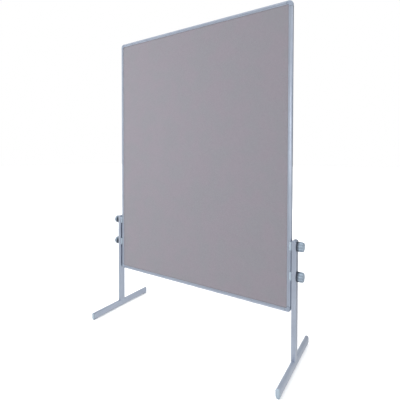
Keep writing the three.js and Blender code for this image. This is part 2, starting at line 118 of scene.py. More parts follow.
def filleted(corners, steps=6):
    """A closed outline through corners (x, y, radius), with an arc of steps in place of each rounded one."""
    points = []
    for index, (x, y, radius) in enumerate(corners):
        here = Vector((x, y))
        if not radius:
            points.append((x, y))
            continue
        back = (Vector(corners[index - 1][:2]) - here).normalized()
        ahead = (Vector(corners[(index + 1) % len(corners)][:2]) - here).normalized()
        half = back.angle(ahead) / 2
        centre = here + (back + ahead).normalized() * radius / math.sin(half)
        first = here + back * radius / math.tan(half) - centre
        last = here + ahead * radius / math.tan(half) - centre
        turn = math.atan2(first.x * last.y - first.y * last.x, first.dot(last))
        for step in range(steps + 1):
            spoke = Matrix.Rotation(turn * step / steps, 2) @ first
            points.append(tuple(centre + spoke))
    return points


def rectangle(width, depth, radius, steps=6):
    x, y = width / 2, depth / 2
    return filleted([(x, -y, radius), (x, y, radius), (-x, y, radius), (-x, -y, radius)], steps)


def flat_oval(width, height, steps=12):
    """Two straight sides joined by half circles, tall along its second direction."""
    radius = width / 2
    centre = height / 2 - radius
    top = arc((0, centre), (radius, radius), 0, 180, steps)
    bottom = arc((0, -centre), (radius, radius), 180, 360, steps)
    return top + bottom


print("a filleted square has", len(rectangle(1, 1, 0.2)), "points")

# %% [markdown]
# ## Meshes
# A loft joins a row of rings of points with faces. It makes a bar from two rings, a tube from four (outside,
# then inside, then back to the first) and a turned body from many. Bmesh does the rest: merging the doubles
# at a pole, turning the faces outwards, and rounding the rims with its bevel.


# %% Meshes
SAME_PLACE = 1e-6


def loft(rings, capped=True, ring_shaped=False):
    """A skin over rings of equally many points. A ring-shaped one joins its last ring to its first."""
    body = bmesh.new()
    rows = [[body.verts.new(point) for point in ring] for ring in rings]
    pairs = list(zip(rows, rows[1:]))
    if ring_shaped:
        pairs.append((rows[-1], rows[0]))
    for low, high in pairs:
        for index in range(len(low)):
            after = (index + 1) % len(low)
            body.faces.new((low[index], low[after], high[after], high[index]))
    if capped and not ring_shaped:
        body.faces.new(reversed(rows[0]))
        body.faces.new(rows[-1])
    return tidy(body)


def tidy(body):
    """Merges doubled points, removes empty faces and turns the rest outwards."""
    bmesh.ops.remove_doubles(body, verts=body.verts, dist=SAME_PLACE)
    bmesh.ops.dissolve_degenerate(body, edges=body.edges, dist=SAME_PLACE)
    bmesh.ops.recalc_face_normals(body, faces=body.faces)
    return body


def ring(outline, level):
    return [(x, y, level) for x, y in outline]


def bar(outline, start, end):
    """A solid bar of that section along Z."""
    return loft([ring(outline, start), ring(outline, end)])


def tube(outside, inside, start, end):
    """A tube along Z with a wall between two outlines of the same count."""
    rings = [ring(outside, start), ring(outside, end), ring(inside, end), ring(inside, start)]
    return loft(rings, ring_shaped=True)


def turned(profile, steps):
    """A body turned about Z from a profile of (radius, level) points."""
    rings = []
    for radius, level in profile:
        angles = [2 * math.pi * step / steps for step in range(steps)]
        rings.append([(radius * math.cos(a), radius * math.sin(a), level) for a in angles])
    return loft(rings, capped=False)


def round_edges(body, width, sharper_than=50, segments=3):
    """Rounds every edge whose faces turn by more than that many degrees."""
    limit = math.radians(sharper_than)
    edges = [edge for edge in body.edges if edge.is_manifold and edge.calc_face_angle(0) > limit]
    bmesh.ops.bevel(
        body,
        geom=edges,
        offset=width,
        offset_type="OFFSET",
        segments=segments,
        profile=0.5,
        affect="EDGES",
        clamp_overlap=True,
    )
    return tidy(body)


def moved(body, matrix):
    bmesh.ops.transform(body, matrix=matrix, verts=body.verts)
    return body


def combine(*bodies):
    """One bmesh that holds all the given ones as separate shells."""
    total = bmesh.new()
    for body in bodies:
        scrap = bpy.data.meshes.new("scrap")
        body.to_mesh(scrap)
        body.free()
        total.from_mesh(scrap)
        bpy.data.meshes.remove(scrap)
    return total


print("a bar has", len(bar(rectangle(1, 1, 0.2), 0, 1).faces), "faces")

# %% [markdown]
# ## Pieces
# A piece that stands for a CAD node moves with that node's body, hides it and takes its finish. One helper
# does all three, so nothing is ever left behind when the board slides. Sharp edges are kept by angle, and
# everything else is shaded smooth. Cutting tools reach well past what they cut, and plugs reach a little
# into what they hold.


# %% Pieces
TOOL_REACH = 30 * MM
OVERLAP = 1 * MM


def stand_for(piece, node, material, sharp_angle=32):
    """The piece takes the node's place, body and finish."""
    piece.data.materials.clear()
    piece.data.materials.append(material)
    for face in piece.data.polygons:
        face.use_smooth = True
    piece.data.set_sharp_from_angle(angle=math.radians(sharp_angle))
    print(f"{node}: {len(piece.data.polygons)} faces")
    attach(piece, frame["nodes"][node]["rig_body"])
    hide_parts(node)
    return piece


def piece_from(body, name):
    mesh = bpy.data.meshes.new(name)
    body.to_mesh(mesh)
    body.free()
    piece = bpy.data.objects.new(name, mesh)
    bpy.context.scene.collection.objects.link(piece)
    return piece


def settle(piece, matrix, rim=0.0):
    """Rounds the piece's rims if asked, and moves it to its place inside its mesh."""
    body = bmesh.new()
    body.from_mesh(piece.data)
    tidy(body)
    if rim:
        round_edges(body, rim, 40)
    moved(body, matrix)
    body.to_mesh(piece.data)
    body.free()


def apply_modifiers(piece):
    """Turns what the modifiers make into the piece's own plain mesh."""
    graph = bpy.context.evaluated_depsgraph_get()
    mesh = bpy.data.meshes.new_from_object(piece.evaluated_get(graph))
    piece.modifiers.clear()
    piece.data = mesh
    return piece


def cut(piece, tool_body, operation="DIFFERENCE"):
    """Cuts the piece with a bmesh, or keeps what is inside it with INTERSECT."""
    tool = piece_from(tool_body, "cutting_tool")
    boolean = piece.modifiers.new("cut", "BOOLEAN")
    boolean.operation = operation
    boolean.solver = "EXACT"
    boolean.object = tool
    apply_modifiers(piece)
    bpy.data.objects.remove(tool)


def round_bar(radius, start, end, steps=32):
    return bar(arc((0, 0), (radius, radius), 0, 360 - 360 / steps, steps - 1), start, end)


def measure(node):
    """The low and the high corner of a CAD node's box, its middle and its size."""
    low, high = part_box(node)
    return low, high, (low + high) / 2, high - low


def quarter_turns(count, axis="Y"):
    return Matrix.Rotation(count * math.pi / 2, 4, axis)


print(len(SLOTS), "CAD nodes have a finish slot")

# %% [markdown]
# ## Node graphs in Python
# Geometry Nodes and shaders are both graphs, and drawing them with node calls alone is hard to read. So one
# small class adds nodes by type, settings and sockets, and a second wraps a socket, so that Python's own
# arithmetic makes Math nodes. A shader formula then reads as a formula.


# %% Node graphs
class Signal:
    """A number or vector that comes out of a node, with Python's arithmetic on it."""

    def __init__(self, graph, socket):
        self.graph = graph
        self.socket = socket

    def __add__(self, other):
        return self.graph.maths("ADD", self, other)

    def __sub__(self, other):
        return self.graph.maths("SUBTRACT", self, other)

    def __rsub__(self, other):
        return self.graph.maths("SUBTRACT", other, self)

    def __mul__(self, other):
        return self.graph.maths("MULTIPLY", self, other)

    def __truediv__(self, other):
        return self.graph.maths("DIVIDE", self, other)

    def __abs__(self):
        return self.graph.maths("ABSOLUTE", self)

    __radd__ = __add__


class Graph:
    """A node tree that is being written."""

    def __init__(self, tree):
        self.tree = tree
        tree.nodes.clear()

    def node(self, kind, settings=None, sockets=None, output=0):
        """Adds a node. Its settings come first, then the values or links of its sockets."""
        made = self.tree.nodes.new(kind)
        for name, value in (settings or {}).items():
            setattr(made, name, value)
        for name, value in (sockets or {}).items():
            if isinstance(value, Signal):
                self.tree.links.new(value.socket, made.inputs[name])
            else:
                made.inputs[name].default_value = value
        return Signal(self, made.outputs[output]) if made.outputs else made

    def maths(self, operation, first, second=0.0):
        return self.node("ShaderNodeMath", {"operation": operation}, {0: first, 1: second})

    def vector_maths(self, operation, first, second, output=0):
        return self.node("ShaderNodeVectorMath", {"operation": operation}, {0: first, 1: second}, output)

    def axes(self, vector):
        """The three parts of a vector."""
        split = self.node("ShaderNodeSeparateXYZ", sockets={"Vector": vector})
        outputs = split.socket.node.outputs
        return [Signal(self, output) for output in outputs]

    def fade(self, value, low, high):
        """0 below low and 1 above high, with a smooth step between."""
        sockets = {"Value": value, "From Min": low, "From Max": high}
        return self.node("ShaderNodeMapRange", {"interpolation_type": "SMOOTHSTEP"}, sockets)


class Recipe(Graph):
    """A Geometry Nodes tree with named inputs."""

    def __init__(self, name, **inputs):
        super().__init__(bpy.data.node_groups.new(name, "GeometryNodeTree"))
        self.inputs = {}
        interface = self.tree.interface
        interface.new_socket("Geometry", in_out="INPUT", socket_type="NodeSocketGeometry")
        for label, kind in {**inputs, "Finish": "Material"}.items():
            item = interface.new_socket(label, in_out="INPUT", socket_type=f"NodeSocket{kind}")
            self.inputs[label] = item.identifier
        interface.new_socket("Geometry", in_out="OUTPUT", socket_type="NodeSocketGeometry")
        self.entry = self.tree.nodes.new("NodeGroupInput")

    def given(self, label="Geometry"):
        return Signal(self, self.entry.outputs[label])

    def give_back(self, geometry):
        whole = self.node("GeometryNodeRealizeInstances", sockets={"Geometry": geometry})
        sockets = {"Geometry": whole, "Material": self.given("Finish")}
        painted = self.node("GeometryNodeSetMaterial", sockets=sockets)
        self.node("NodeGroupOutput", sockets={"Geometry": painted})

    def make(self, body, name, **values):
        """Runs the tree on a bmesh and returns the result as a plain piece."""
        piece = piece_from(body, name)
        modifier = piece.modifiers.new(self.tree.name, "NODES")
        modifier.node_group = self.tree
        for label, value in values.items():
            modifier[self.inputs[label]] = value
        return apply_modifiers(piece)


print("graph helpers ready")

# %% [markdown]
# ## Finishes
# A finish starts from where a point is on the object, measured in metres, so grain and wear have their real
# size. Colours are written as the eye sees them, from 0 to 255, and turned into the linear light that a
# renderer adds up. The Principled shader then takes colour, roughness and a height for the bump.


# %% Finish helper
def colour(red, green, blue):
    """Linear light from a colour as it looks on a screen."""
    parts = [value / 255 for value in (red, green, blue)]
    return tuple(p / 12.92 if p <= 0.04045 else ((p + 0.055) / 1.055) ** 2.4 for p in parts) + (1.0,)


class Finish(Graph):
    """A material that is being mixed."""

    def __init__(self, name):
        self.material = bpy.data.materials.new(name)
        self.material.use_nodes = True
        super().__init__(self.material.node_tree)
        self.place = self.node("ShaderNodeTexCoord", output=3)

    def noise(self, size, stretch=(1, 1, 1), detail=3, roughness=0.55):
        """Noise with features of about that size, longer along an axis whose stretch is over 1."""
        scale = tuple(1 / (size * factor) for factor in stretch)
        where = self.node("ShaderNodeMapping", sockets={"Vector": self.place, "Scale": scale})
        sockets = {"Vector": where, "Scale": 1.0, "Detail": detail, "Roughness": roughness}
        return self.node("ShaderNodeTexNoise", sockets=sockets)

    def cells(self, size):
        """The distance to the middle of the nearest cell, among cells of about that size."""
        return self.node("ShaderNodeTexVoronoi", sockets={"Vector": self.place, "Scale": 1 / size})

    def worn_edges(self, reach, size):
        """1 in patches of that size along the outer edges, as far in as reach, and 0 on flat faces."""
        rounded = self.node("ShaderNodeBevel", {"samples": 4}, {"Radius": reach})
        normal = self.node("ShaderNodeNewGeometry", output=1)
        agree = self.vector_maths("DOT_PRODUCT", rounded, normal, output=1)
        return self.fade(1 - agree, 0.01, 0.12) * self.fade(self.noise(size, detail=5), 0.4, 0.6)

    def mix(self, factor, first, second):
        """A colour between two colours."""
        return self.node("ShaderNodeMix", {"data_type": "RGBA"}, {0: factor, 6: first, 7: second}, output=2)

    def surface(self, height=None, depth=0.0, strength=1.0, **sockets):
        """Ends the material in a Principled shader, with a bump of that depth in metres from height."""
        names = {}
        for name, value in sockets.items():
            names[name.replace("_", " ").title().replace("Ior", "IOR")] = value
        if height is not None:
            bump = {"Height": height, "Distance": depth, "Strength": strength}
            names["Normal"] = self.node("ShaderNodeBump", sockets=bump)
        shader = self.node("ShaderNodeBsdfPrincipled", sockets=names)
        self.node("ShaderNodeOutputMaterial", sockets={"Surface": shader})
        return self.material


print("mid grey is", [round(part, 3) for part in colour(128, 128, 128)])

# %% [markdown]
# ### Anodised aluminium
# The frame, posts and feet are drawn aluminium with a satin anodised skin. The die leaves fine lines along
# the length, and the acid bath leaves a soft cloudiness. Noise that is hundreds of times longer along one
# axis gives the die lines, so each direction of bar has its own copy of the finish. The frame's slot and
# lips are painted darker as shade, where little light gets there, and edges are worn to bare metal in
# places.


# %% Anodised aluminium
DIE_STRETCH = 400
SHADE_EDGE = 0.4 * MM
SLOT_SHADE_ENDS = 4.1 * MM, 5 * MM
SLOT_SHADE = 0.7
LIP_SHADE = 0.1


def painted_frame_shade(finish, axis):
    """How much painted shade darkens the frame: most in its outer slot, a little on the lips, and 0
    elsewhere.
    """
    x, y, z = finish.axes(finish.place)
    outwards = abs(x if axis == "z" else z - board_middle)
    edge = half_width if axis == "z" else half_height
    deep = 1 - finish.fade(outwards, edge - SLOT_TOP, edge - SHADE_EDGE)
    narrow = 1 - finish.fade(abs(y), *SLOT_SHADE_ENDS)
    lip_edge = edge - LIP_START
    lip = 1 - finish.fade(outwards, lip_edge - SHADE_EDGE, lip_edge + SHADE_EDGE)
    return finish.maths("MAXIMUM", deep * narrow * SLOT_SHADE, lip * LIP_SHADE)


def anodised(axis):
    """The finish of bars that lie along that axis. The feet, along Y, have no slot and no lips."""
    finish = Finish(f"anodised_aluminium_along_{axis}")
    stretch = [DIE_STRETCH if letter == axis else 1 for letter in "xyz"]
    die_lines = finish.noise(0.9 * MM, stretch, detail=2)
    fine_lines = finish.noise(0.25 * MM, stretch, detail=2)
    bath = finish.noise(90 * MM, detail=3)
    handling = finish.fade(finish.noise(35 * MM, detail=5, roughness=0.7), 0.58, 0.75)
    worn = finish.worn_edges(1.2 * MM, 14 * MM)
    tone = finish.fade(bath * 0.6 + die_lines * 0.4, 0.35, 0.65)
    base = finish.mix(tone, colour(166, 175, 191), colour(175, 184, 199))
    base = finish.mix(handling * 0.25, base, colour(157, 164, 177))
    if axis != "y":
        # Painted shade: the slot and the lips are mixed towards a dark grey.
        base = finish.mix(painted_frame_shade(finish, axis), base, colour(60, 66, 78))
    base = finish.mix(worn * 0.5, base, colour(203, 207, 213))
    return finish.surface(
        height=die_lines * 0.7 + fine_lines * 0.3,
        depth=0.04 * MM,
        base_color=base,
        metallic=0.8,
        roughness=0.3 + handling * 0.1 + fine_lines * 0.08 - worn * 0.06,
    )


ALUMINIUM = {axis: anodised(axis) for axis in "xyz"}
print("made", [material.name for material in ALUMINIUM.values()])

# %% [markdown]
# ### Moulded plastics
# Corner pieces, caps and clamp jaws are light grey mouldings, and the knobs are a little bluer. The tool is
# spark eroded, which leaves a fine even texture in the surface, so the bump is a small noise and the shine
# is low. Hands polish patches and edges. Painted shade darkens the knobs' flutes, the grip near their
# collars, and the seams where a corner piece meets the frame.


# %% Moulded plastics
# The dark grey of the painted shade in seams, flutes and near the knobs' collars, and how strongly it is
# mixed in.
PAINTED_SHADE = colour(44, 50, 60)
PAINTED_SHADE_STRENGTH = 0.75
SEAM_SHADE_ENDS = 0.5 * MM, 1.8 * MM
SPARK_GRAIN = 0.35 * MM


def painted_seam_shade(finish):
    """Painted shade at the seams: 1 at the planes where the corner pieces end, and 0 a little way off."""
    x, _, z = finish.axes(finish.place)
    distances = []
    for along, half in ((x, half_width), (z - board_middle, half_height)):
        distances.append(abs(abs(along) - (half - CORNER_LEG)))
    return 1 - finish.fade(finish.maths("MINIMUM", *distances), *SEAM_SHADE_ENDS)


def painted_knob_shade(finish):
    """The painted shade that the flute tree has stored: in the flutes and near the collar."""
    return finish.node("ShaderNodeAttribute", {"attribute_name": "painted_knob_shade"}, output=2)


def moulded(name, light, dark, roughness, metallic=0.0, painted_shade=None):
    """A moulded finish. Its last argument is a function of the finish that says where painted shade darkens
    it.
    """
    finish = Finish(name)
    spark = finish.noise(SPARK_GRAIN, detail=2)
    flow = finish.noise(25 * MM, detail=4)
    polish = finish.fade(finish.noise(12 * MM, detail=4, roughness=0.7), 0.5, 0.7)
    tone = finish.fade(flow * 0.8 + spark * 0.2, 0.35, 0.65)
    base = finish.mix(tone, dark, light)
    base = finish.mix(finish.worn_edges(0.8 * MM, 6 * MM) * 0.2, base, colour(205, 210, 216))
    if painted_shade:
        # Painted shade: the colour is mixed towards a dark grey where the given mask says.
        base = finish.mix(painted_shade(finish) * PAINTED_SHADE_STRENGTH, base, PAINTED_SHADE)
    return finish.surface(
        height=spark,
        depth=0.05 * MM,
        base_color=base,
        roughness=roughness - polish * 0.08 + spark * 0.06,
        metallic=metallic,
        specular_ior_level=0.45,
    )


MOULDED_GREY = colour(152, 162, 178), colour(141, 151, 167)
KNOB_GREY = colour(136, 151, 165), colour(122, 136, 150)
# Painted shade darkens the corner pieces at their seams, and the knobs in their flutes and near their
# collars.
CORNER_PLASTIC = moulded("corner_plastic_grain", *MOULDED_GREY, 0.3, metallic=0.55, painted_shade=painted_seam_shade)
KNOB_PLASTIC = moulded("knob_plastic_grain", *KNOB_GREY, 0.36, painted_shade=painted_knob_shade)
PALE_PLASTIC = moulded("pale_plastic_grain", colour(141, 154, 165), colour(130, 143, 155), 0.34)
DARK_PLASTIC = moulded("dark_plastic_grain", colour(40, 47, 61), colour(30, 36, 48), 0.5)
print("made the moulded plastics")

# %% [markdown]
# ### Needled felt
# The face of the board is needled felt: fibres of several greys and a little mauve, punched together by
# barbed needles. From near it is a tangle of short hairs with a dimple at each needle stroke, and from far a
# soft melange. Three stretched noises at different angles give the hairs, cells give the dimples, and a
# sheen gives the light edge that loose fibres catch. A few pin holes show use, and painted shade darkens
# the felt in the crease along the frame.


# %% Needled felt
FIBRE_SIZE = 0.35 * MM, 1 * MM, 4 * MM
FIBRE_TURNS = 20, 80, 140
NEEDLE_SPACING = 2.4 * MM
CREASE_SHADE_ENDS = 0.3 * MM, 3 * MM
PIN_SPACING = 26 * MM
PIN_HOLE_ENDS = 0.012, 0.03
UNPINNED_SHARE = 0.87


def painted_crease_shade(finish):
    """Painted shade: 1 in the crease along the frame's lips, and 0 a few millimetres away."""
    x, _, z = finish.axes(finish.place)
    from_side = half_width - FRAME_FACE - abs(x)
    from_end = half_height - FRAME_FACE - abs(z - board_middle)
    return 1 - finish.fade(finish.maths("MINIMUM", from_side, from_end), *CREASE_SHADE_ENDS)


def pin_holes(finish):
    """1 in the small holes that pins have left, in about one cell in eight, and 0 elsewhere."""
    cells = finish.cells(PIN_SPACING)
    colours = Signal(finish, cells.socket.node.outputs["Color"])
    chosen = finish.maths("GREATER_THAN", finish.axes(colours)[0], UNPINNED_SHARE)
    return (1 - finish.fade(cells, *PIN_HOLE_ENDS)) * chosen


def needled_felt():
    finish = Finish("needled_felt")
    scale = [1 / size for size in FIBRE_SIZE]
    hairs = []
    for turn in FIBRE_TURNS:
        angle = (0, math.radians(turn), 0)
        where = finish.node("ShaderNodeMapping", sockets={"Vector": finish.place, "Rotation": angle})
        narrow = finish.vector_maths("MULTIPLY", where, scale)
        sockets = {"Vector": narrow, "Scale": 1.0, "Detail": 2.0, "Distortion": 0.6}
        hairs.append(finish.node("ShaderNodeTexNoise", sockets=sockets))
    tangle = (hairs[0] + hairs[1] + hairs[2]) / 3
    dimples = finish.fade(finish.cells(NEEDLE_SPACING), 0.0, 0.5)
    melange = finish.fade(finish.noise(6 * MM, detail=5, roughness=0.75), 0.4, 0.6)
    clouds = finish.fade(finish.noise(110 * MM, detail=2), 0.35, 0.65)
    base = finish.mix(clouds, colour(107, 107, 112), colour(111, 106, 113))
    base = finish.mix(melange * 0.35, base, colour(98, 95, 102))
    base = finish.mix(finish.fade(tangle, 0.44, 0.56) * 0.5, base, colour(125, 122, 129))
    # Painted shade: the felt is darker in the crease along the frame's lips.
    base = finish.mix(painted_crease_shade(finish) * 0.25, base, colour(70, 69, 76))
    base = finish.mix(pin_holes(finish) * 0.8, base, colour(50, 48, 54))
    return finish.surface(
        height=tangle * 0.7 + dimples * 0.3,
        depth=0.5 * MM,
        strength=0.7,
        base_color=base,
        roughness=0.92 + melange * 0.06,
        specular_ior_level=0.2,
        sheen_weight=0.25,
        sheen_roughness=0.5,
    )


FELT = needled_felt()
print("made", FELT.name)

# %% [markdown]
# ### The hidden materials
# Inside are a soft fibreboard core that holds the pins, and zinc-plated steel fasteners. They hardly show,
# but a knob that is unscrewed lets its stud be seen, and the slot in the frame shows the nut.


# %% Hidden materials
def fibreboard():
    finish = Finish("soft_fibreboard")
    chips = finish.noise(3 * MM, (3, 1, 3), detail=6, roughness=0.7)
    base = finish.mix(finish.fade(chips, 0.35, 0.65), colour(150, 122, 88), colour(196, 170, 132))
    return finish.surface(height=chips, depth=0.3 * MM, base_color=base, roughness=0.85 + chips * 0.1)


def zinc_steel():
    finish = Finish("zinc_plated_steel")
    spangle = finish.noise(1.5 * MM, detail=4)
    base = finish.mix(finish.fade(spangle, 0.4, 0.6), colour(168, 170, 172), colour(196, 197, 196))
    return finish.surface(
        height=spangle,
        depth=0.03 * MM,
        base_color=base,
        metallic=0.95,
        roughness=0.28 + spangle * 0.2,
    )


FINISH_OF_SLOT = {
    "anodised_aluminium": ALUMINIUM["z"],
    "corner_plastic": CORNER_PLASTIC,
    "knob_plastic": KNOB_PLASTIC,
    "dark_plastic": DARK_PLASTIC,
    "felt": FELT,
    "fibreboard": fibreboard(),
    "zinc_steel": zinc_steel(),
}
for node, piece in frame["nodes"].items():
    piece.data.materials.clear()
    piece.data.materials.append(FINISH_OF_SLOT[SLOTS[node]])
print("every CAD node has a finish")

# %% [markdown]
# ## The felt
# Each face is one sheet of felt, 2 mm thick, glued over the core and tucked under the frame's lips, so it is
# a stretched sheet with no folds. A plain box would look dead in raking light: real felt rises and falls by
# a fraction of a millimetre where the glue took it. A grid of points pushed out by smooth noise shows that.

# %% The felt
FELT_CORNER = 10.5 * MM
FELT_COLUMNS = 76
FELT_ROWS = 98
FELT_UNEVENNESS = 0.12 * MM


def dip(x, z):
    """How far the felt lies below its highest points, from 0 to -1, in soft waves some 40 cm long."""
    wave = math.sin(x * 17 + math.cos(z * 9) * 2)
    wave = wave * math.sin(z * 13 + math.cos(x * 11) * 2)
    return (wave - 1) / 2


def felt_sheet(node, outwards):
    """A sheet with rounded corners, whose outer face is gently uneven. outwards is -1 or 1 along Y."""
    low, high, middle, size = measure(node)
    outer_y = high.y if outwards > 0 else low.y
    body = bmesh.new()
    bmesh.ops.create_grid(body, x_segments=FELT_COLUMNS, y_segments=FELT_ROWS, size=0.5)
    for corner in body.verts:
        corner.co = Vector((corner.co.x * size.x, 0, corner.co.y * size.z))
        pull_into_corner(corner, size)
    extruded = bmesh.ops.extrude_face_region(body, geom=list(body.faces), use_keep_orig=True)
    backs = {item for item in extruded["geom"] if isinstance(item, bmesh.types.BMVert)}
    for corner in body.verts:
        rise = -size.y if corner in backs else FELT_UNEVENNESS * dip(corner.co.x, corner.co.z)
        corner.co += middle
        corner.co.y = outer_y + outwards * rise
    return tidy(body)


def pull_into_corner(corner, size):
    """Moves a grid point that lies outside the sheet's rounded corner onto it."""
    inner_x = size.x / 2 - FELT_CORNER
    inner_z = size.z / 2 - FELT_CORNER
    over_x = abs(corner.co.x) - inner_x
    over_z = abs(corner.co.z) - inner_z
    if over_x <= 0 or over_z <= 0:
        return
    reach = math.hypot(over_x, over_z)
    if reach > FELT_CORNER:
        corner.co.x = math.copysign(inner_x + over_x * FELT_CORNER / reach, corner.co.x)
        corner.co.z = math.copysign(inner_z + over_z * FELT_CORNER / reach, corner.co.z)


for face, outwards in (("front", -1), ("back", 1)):
    node = f"felt_{face}"
    sheet = stand_for(piece_from(felt_sheet(node, outwards), f"{node}_sheet"), node, FELT)
    low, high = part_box(node)

# %% [markdown]
# ## The frame's section
# The frame is one aluminium extrusion, cut to four lengths. Its outside is a soft convex edge with a T-slot
# that the clamp nuts slide in, and towards the felt it steps down to a flat lip that holds the panel. The
# section is drawn as an outline: u runs inwards from the outside of the board and v across its thickness.
# Both faces are alike, so only one half is listed and the other is its mirror image.

# %% The frame's section
LIP_HEIGHT = 10.9 * MM
GROOVE_DEPTH = 0.7 * MM
PANEL_GROOVE = 9.3 * MM
WEB_INSIDE = 9 * MM
EDGE_REACH = 10.5 * MM
EDGE_FLAT = 5.4 * MM
SLOT_MOUTH = 4.2 * MM
SLOT_HALF = 7.5 * MM
SLOT_FLOOR = 7.5 * MM


def face_corners(proud):
    """One face of the section, from the outer edge to the floor of the panel groove."""
    face = FRAME_DEPTH / 2 + proud
    lip = LIP_HEIGHT + proud
    edge = arc((EDGE_REACH, EDGE_FLAT), (EDGE_REACH, face - EDGE_FLAT), 180, 90, 10)
    step_floor = lip - GROOVE_DEPTH
    return [(u, v, 0) for u, v in edge] + [
        (LIP_START - 1.1 * MM, face - 0.15 * MM, 0.5 * MM),
        (LIP_START, step_floor, 0.3 * MM),
        (LIP_START + 1.2 * MM, lip, 0.5 * MM),
        (FRAME_FACE, lip - 0.3 * MM, 0.7 * MM),
        (FRAME_FACE, PANEL_GROOVE, 0.15 * MM),
        (WEB_INSIDE, PANEL_GROOVE, 0),
    ]


def slot_corners():
    """Half of the T-slot, from its floor to its mouth."""
    return [
        (SLOT_FLOOR, SLOT_HALF, 0.4 * MM),
        (SLOT_TOP, SLOT_HALF, 0.4 * MM),
        (SLOT_TOP, SLOT_MOUTH, 0.3 * MM),
        (0, SLOT_MOUTH, 0.5 * MM),
    ]


def mirrored(corners):
    return [(u, -v, radius) for u, v, radius in reversed(corners)]


def frame_section(proud=0.0, slotted=True):
    half = (slot_corners() if slotted else []) + face_corners(proud)
    return filleted(half + mirrored(half), steps=4)


print("the section has", len(frame_section()), "points")

# %% [markdown]
# ## Sweeping the section
# An extrusion is a section that follows a straight path, and its corner piece is nearly the same section
# that follows a bent one. Geometry Nodes' Curve to Mesh does both, so this is where a node tree suits: the
# outline goes in as edges, the path is drawn in the tree, and its sizes are inputs. The bent path is three
# points whose middle one is filleted.


# %% Sweeping trees
def sweep(recipe, path):
    """Ends the tree with its outline carried along the path."""
    outline = recipe.node("GeometryNodeMeshToCurve", sockets={"Mesh": recipe.given()})
    sockets = {"Curve": path, "Profile Curve": outline, "Fill Caps": True}
    recipe.give_back(recipe.node("GeometryNodeCurveToMesh", sockets=sockets))


def straight_sweep():
    recipe = Recipe("straight_extrusion", Length="Float")
    end = recipe.node("ShaderNodeCombineXYZ", sockets={"Z": recipe.given("Length")})
    sweep(recipe, recipe.node("GeometryNodeCurvePrimitiveLine", sockets={"End": end}))
    return recipe


def bent_sweep():
    recipe = Recipe("bent_corner", Leg="Float", Radius="Float", Steps="Int")
    leg = recipe.given("Leg")
    rise = recipe.node("ShaderNodeCombineXYZ", sockets={"Z": leg})
    points = recipe.node("GeometryNodeMeshLine", sockets={"Count": 3, "Offset": rise})
    path = recipe.node("GeometryNodeMeshToCurve", sockets={"Mesh": points})
    last = recipe.maths("GREATER_THAN", recipe.node("GeometryNodeInputIndex"), 1.5)
    far_end = recipe.node("ShaderNodeCombineXYZ", sockets={"X": leg, "Z": leg})
    place = {"Geometry": path, "Selection": last, "Position": far_end}
    path = recipe.node("GeometryNodeSetPosition", sockets=place)
    bend = {"Curve": path, "Count": recipe.given("Steps"), "Radius": recipe.given("Radius")}
    sweep(recipe, recipe.node("GeometryNodeFilletCurve", {"mode": "POLY"}, bend))
    return recipe


def outline_edges(outline):
    """The outline as a loop of edges, which is what the trees take."""
    body = bmesh.new()
    corners = [body.verts.new((u, v, 0)) for u, v in outline]
    for index, corner in enumerate(corners):
        body.edges.new((corners[index - 1], corner))
    return body


STRAIGHT = straight_sweep()
BENT = bent_sweep()
print("trees:", STRAIGHT.tree.name, "and", BENT.tree.name)

# %% [markdown]
# ## Frame and corners
# Going round the board, each bar and each corner piece is the last one turned a quarter about Y. So both are
# made once, in the place of the left upright and the top left corner, and turned. The corner pieces stand a
# little proud and end just short of the bars, which is what makes their seams readable.


# %% Frame and corners
for turns, side in enumerate(("left", "top", "right", "bottom")):
    node = f"frame_{side}"
    length = max(measure(node)[3])
    to_outside = half_width if turns % 2 == 0 else half_height
    finish = ALUMINIUM["z" if turns % 2 == 0 else "x"]
    outline = outline_edges(frame_section())
    extrusion = STRAIGHT.make(outline, f"{node}_extrusion", Length=length, Finish=finish)
    start = Matrix.Translation((-to_outside, 0, -length / 2))
    settle(extrusion, Matrix.Translation(board_centre) @ quarter_turns(turns) @ start)
    stand_for(extrusion, node, finish)

for turns, place in enumerate(("top_left", "top_right", "bottom_right", "bottom_left")):
    node = f"corner_{place}"
    leg = CORNER_LEG - CORNER_SEAM
    outline = outline_edges(frame_section(CORNER_PROUD, slotted=False))
    sizes = {"Leg": leg, "Radius": CORNER_RADIUS, "Steps": 10}
    corner = BENT.make(outline, f"{node}_moulding", Finish=CORNER_PLASTIC, **sizes)
    across = half_width if turns % 2 == 0 else half_height
    along = half_height if turns % 2 == 0 else half_width
    start = Matrix.Translation((-across, 0, along - leg))
    settle(corner, Matrix.Translation(board_centre) @ quarter_turns(turns) @ start)
    stand_for(corner, node, CORNER_PLASTIC)

# %% [markdown]
# ## Posts
# A post is a rectangular tube with rounded corners. At the bottom it is coped: cut to the curve of the foot
# tube's top, so that the two meet without a gap. Two pairs of holes take the clamp studs. The tube is a
# loft, and the cuts are booleans with the same shapes the workshop would cut with.


# %% Posts
STUD_HOLE = 4.5 * MM
COPE_STEPS = 24


def rectangular_tube(width, depth, start, end):
    outside = rectangle(width, depth, POST_CORNER, steps=8)
    inside = rectangle(width - 2 * TUBE_WALL, depth - 2 * TUBE_WALL, POST_CORNER - TUBE_WALL, steps=8)
    return tube(outside, inside, start, end)


def along_x(body, x, z):
    """Lays a body drawn along Z so that it runs along X through (x, 0, z)."""
    return moved(body, Matrix.Translation((x, 0, z)) @ quarter_turns(1, "Y"))


def along_y(body, x, z):
    """Lays a body drawn along Z so that it runs along Y, with its own Y upwards."""
    return moved(body, Matrix.Translation((x, 0, z)) @ quarter_turns(1, "X"))


